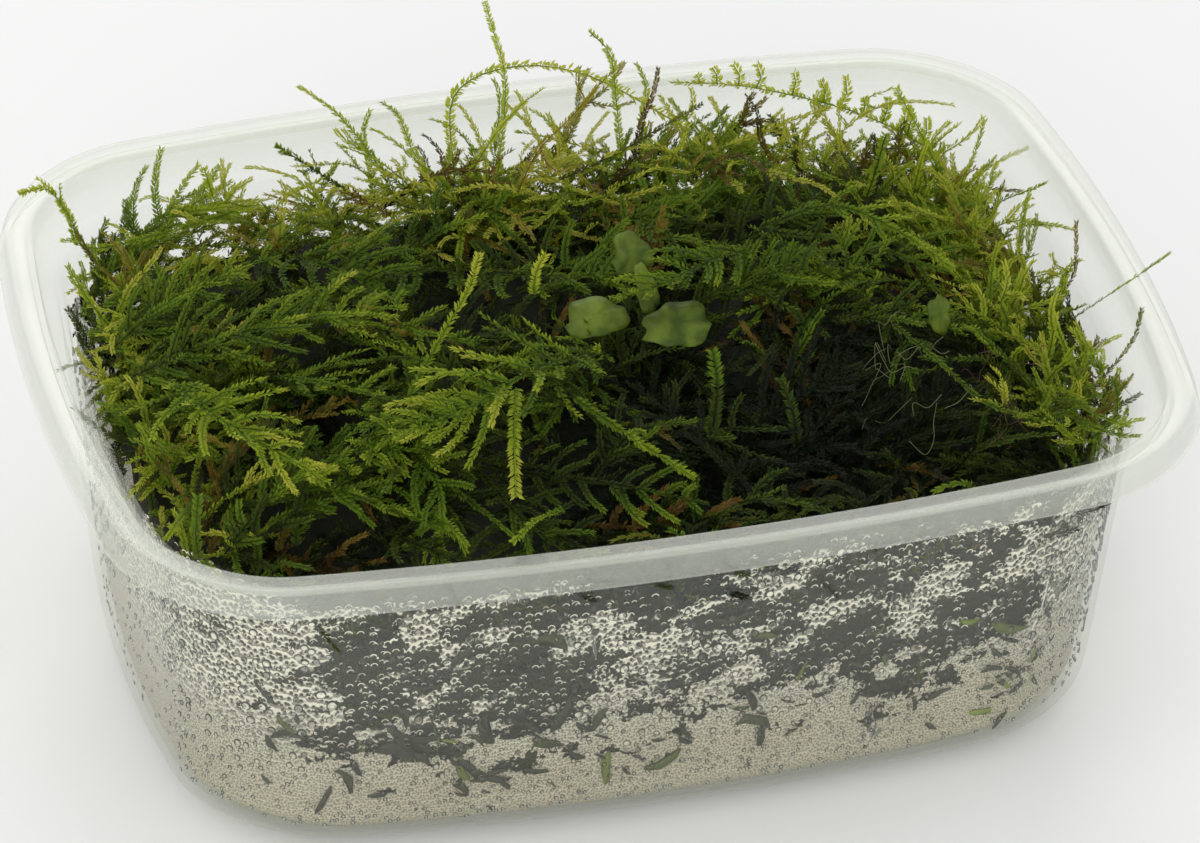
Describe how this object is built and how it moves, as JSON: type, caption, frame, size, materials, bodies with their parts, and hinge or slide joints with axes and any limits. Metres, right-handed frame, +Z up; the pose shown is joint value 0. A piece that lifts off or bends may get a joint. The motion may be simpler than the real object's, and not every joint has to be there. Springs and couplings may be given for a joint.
{
  "type": "moss clump in a food tub",
  "caption": "Damp clump of feathery moss with long fronds and a small lobed thallus, kept in an open, translucent food tub with a lid rim.",
  "frame": {"origin": "centre of the tub's flat base, on the surface it stands on", "axes": "+Z up; +X along the tub's long side, to the right as seen from the front; +Y towards the back"},
  "size_m": [0.148, 0.1112, 0.0775],
  "materials": {
    "milky_plastic": "translucent, softly glossy polypropylene",
    "moss_green": "damp leafy moss",
    "young_green": "fresh yellow-green moss tips",
    "old_stem": "old brown moss stem",
    "thallus_green": "smooth, slightly translucent thallus"
  },
  "bodies": {
    "root": {"tub": "milky_plastic", "moss_mat": "moss_green", "upright_shoot": "moss_green", "back_left_frond": "moss_green", "left_back_frond": "moss_green", "long_left_frond": "moss_green", "front_left_fan": "moss_green", "front_fan": "moss_green", "spreading_shoot": "moss_green", "front_comb": "moss_green", "dark_comb": "moss_green", "hollow_comb": "moss_green", "thallus_frond": "moss_green", "right_arch": "moss_green", "right_strand": "moss_green", "right_curl": "moss_green", "tallest_shoot": "young_green", "arched_shoot": "young_green", "hooked_shoot": "young_green", "back_frond": "young_green", "back_right_shoot": "young_green", "corner_shoot": "young_green", "yellow_shoot": "young_green", "left_arch": "young_green", "left_wall_shoot": "young_green", "bright_shoot": "young_green", "comb_shoot": "young_green", "hanging_shoot": "young_green", "rim_shoot": "young_green", "rim_tendril": "young_green", "crossed_shoot": "old_stem", "left_wall_stem": "old_stem", "right_wall_stem": "old_stem", "budded_shoot": "old_stem", "thallus_round_lobe": "thallus_green", "thallus_left_lobe": "thallus_green", "thallus_right_lobe": "thallus_green"}
  },
  "joints": []
}
